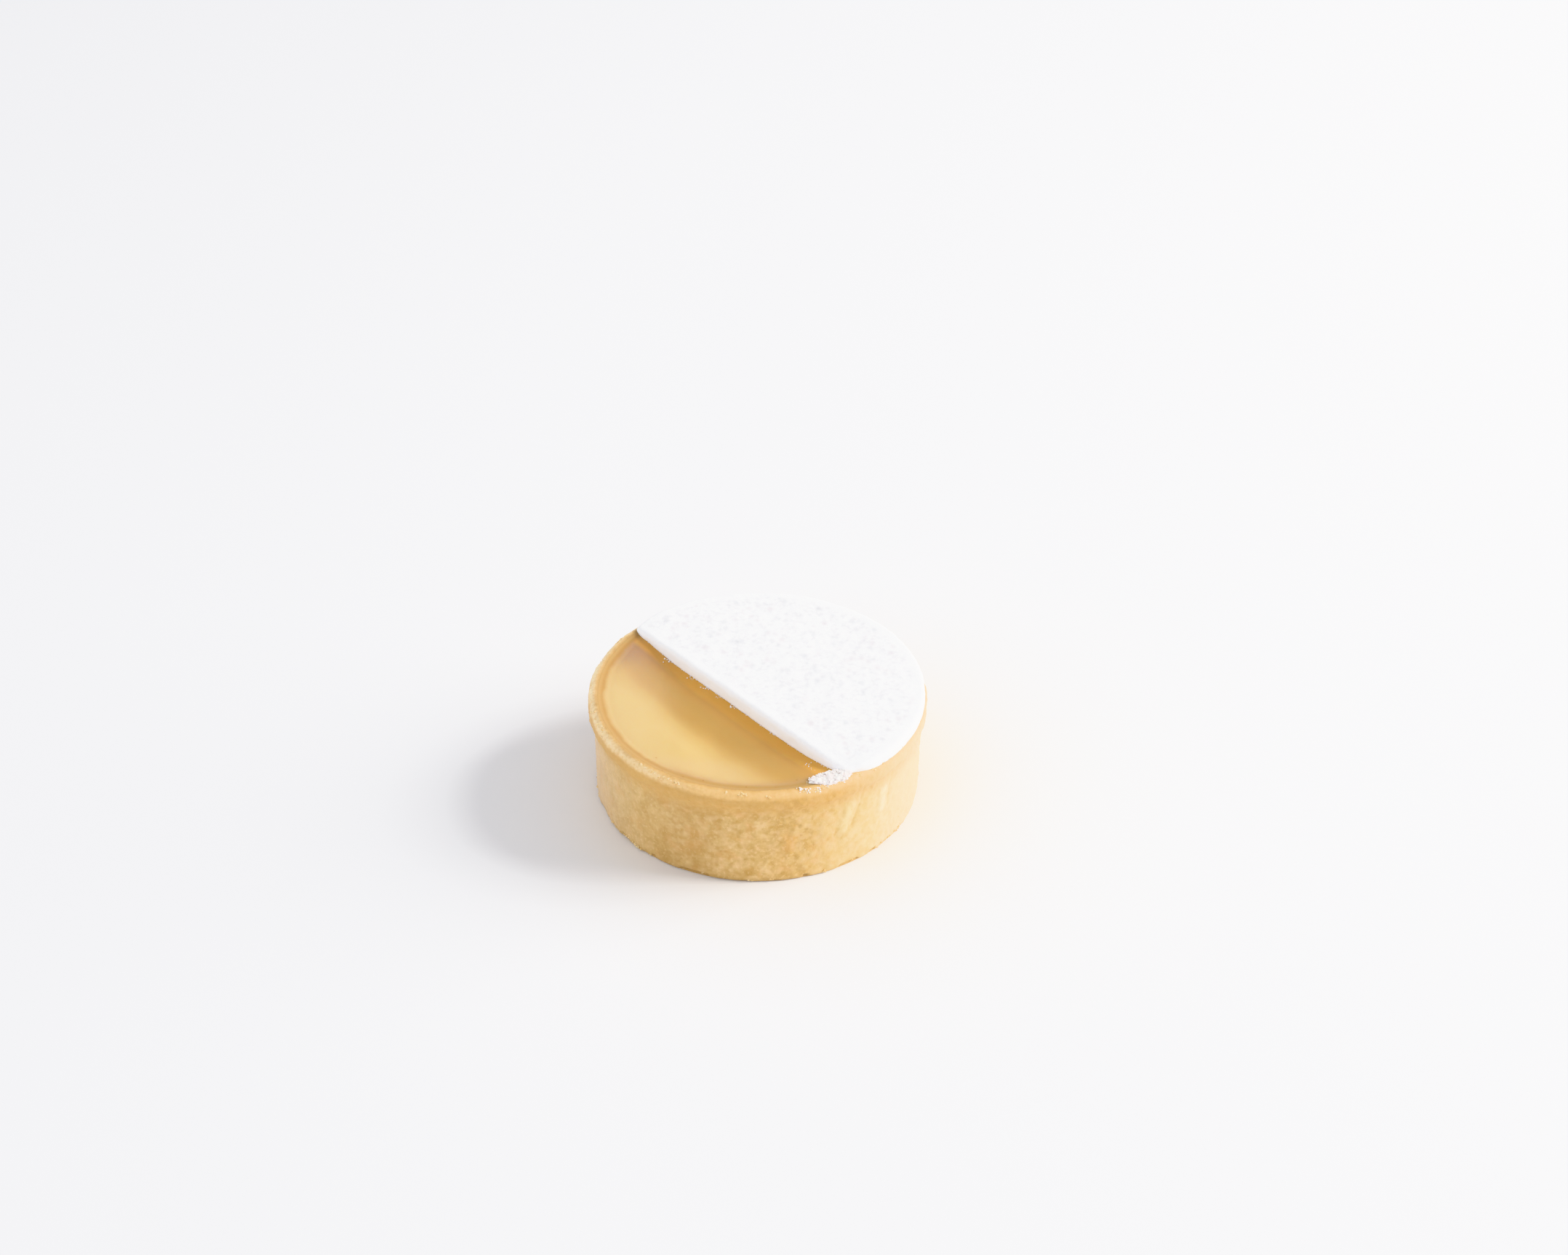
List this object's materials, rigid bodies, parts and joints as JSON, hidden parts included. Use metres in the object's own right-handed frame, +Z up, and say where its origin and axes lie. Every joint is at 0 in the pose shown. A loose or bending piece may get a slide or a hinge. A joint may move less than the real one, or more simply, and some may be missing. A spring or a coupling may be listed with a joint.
{
  "type": "lemon tart",
  "caption": "Round lemon tart: straight-sided short-crust case, satin lemon curd, and a thick layer of icing sugar ending in a straight cut.",
  "frame": {"origin": "centre of the tart's underside", "axes": "+Z up out of the tart's top; -Y towards the viewer of the reference view, +X to its right. The sugar's cut runs from back left to front right, and its face looks towards -X and -Y"},
  "size_m": [0.0803, 0.0802, 0.0286],
  "materials": {
    "baked_crust": "matte",
    "lemon_curd": "satin",
    "icing_sugar": "matte"
  },
  "bodies": {
    "root": {"crust": "baked_crust", "lemon_filling": "lemon_curd", "icing_sugar": "icing_sugar"}
  },
  "joints": []
}
